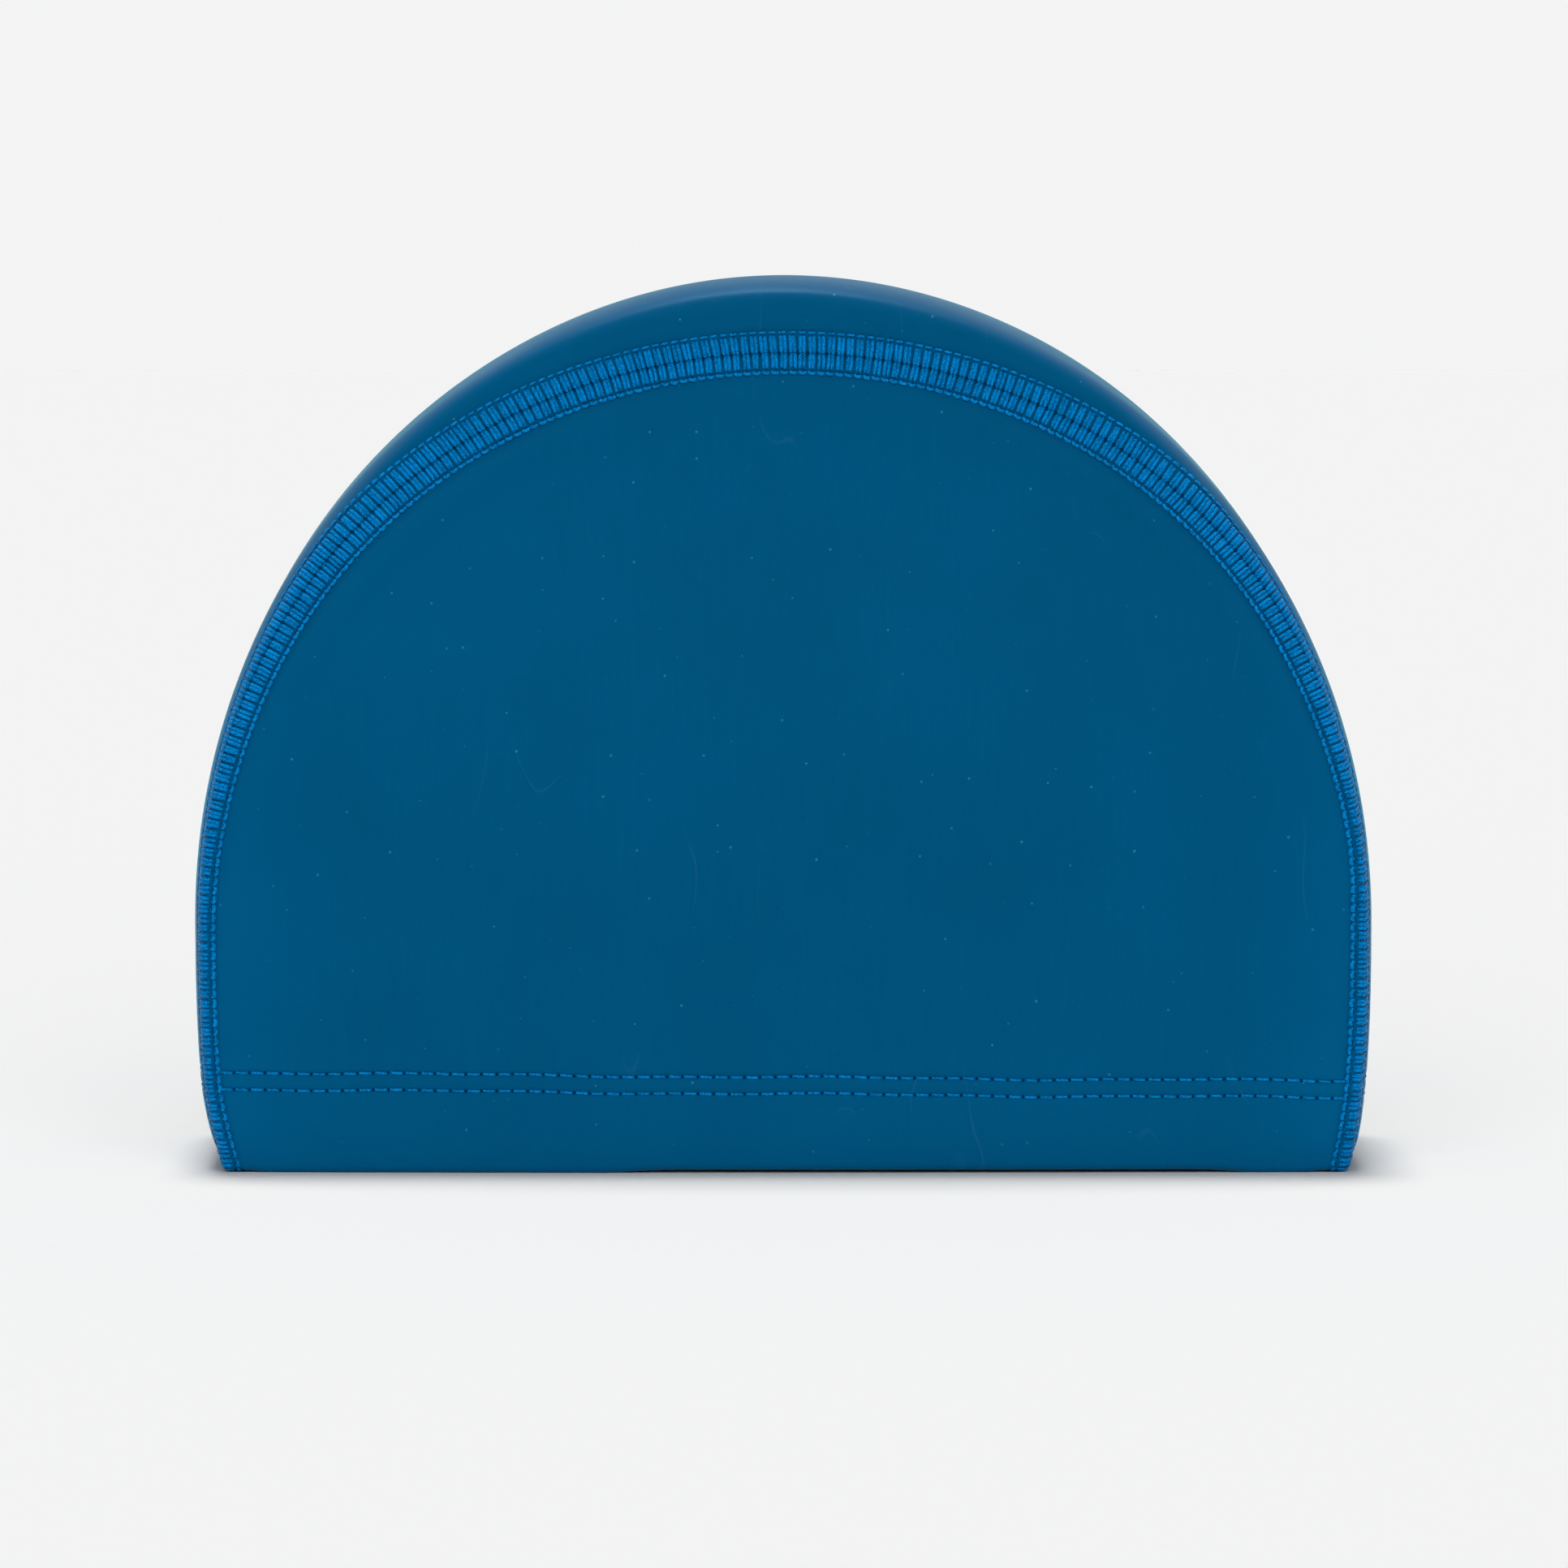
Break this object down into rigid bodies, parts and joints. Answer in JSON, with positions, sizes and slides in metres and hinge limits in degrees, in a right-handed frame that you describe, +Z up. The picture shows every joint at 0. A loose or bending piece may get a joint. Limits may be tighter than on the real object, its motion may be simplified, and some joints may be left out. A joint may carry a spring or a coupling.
{
  "type": "swim cap",
  "caption": "Hollow swim cap of coated stretch knit: D shaped side panels and a centre panel joined by flat seams, with a turned-up hem, standing on its open edge.",
  "frame": {"origin": "centre of the opening in the plane that the hem rests on", "axes": "+X from back to front along the cap, +Y across the cap from one side panel to the other, +Z up to the crown"},
  "size_m": [0.225, 0.0702, 0.169],
  "materials": {
    "coated_knit": "smooth satin polyurethane coating on fine knit, blue",
    "seam_thread": "textured polyester thread in a flat cover seam, lighter blue"
  },
  "bodies": {
    "root": {"side_panel_near": "coated_knit", "side_panel_far": "coated_knit", "centre_panel": "coated_knit", "seam_near": "seam_thread", "seam_far": "seam_thread"}
  },
  "joints": []
}
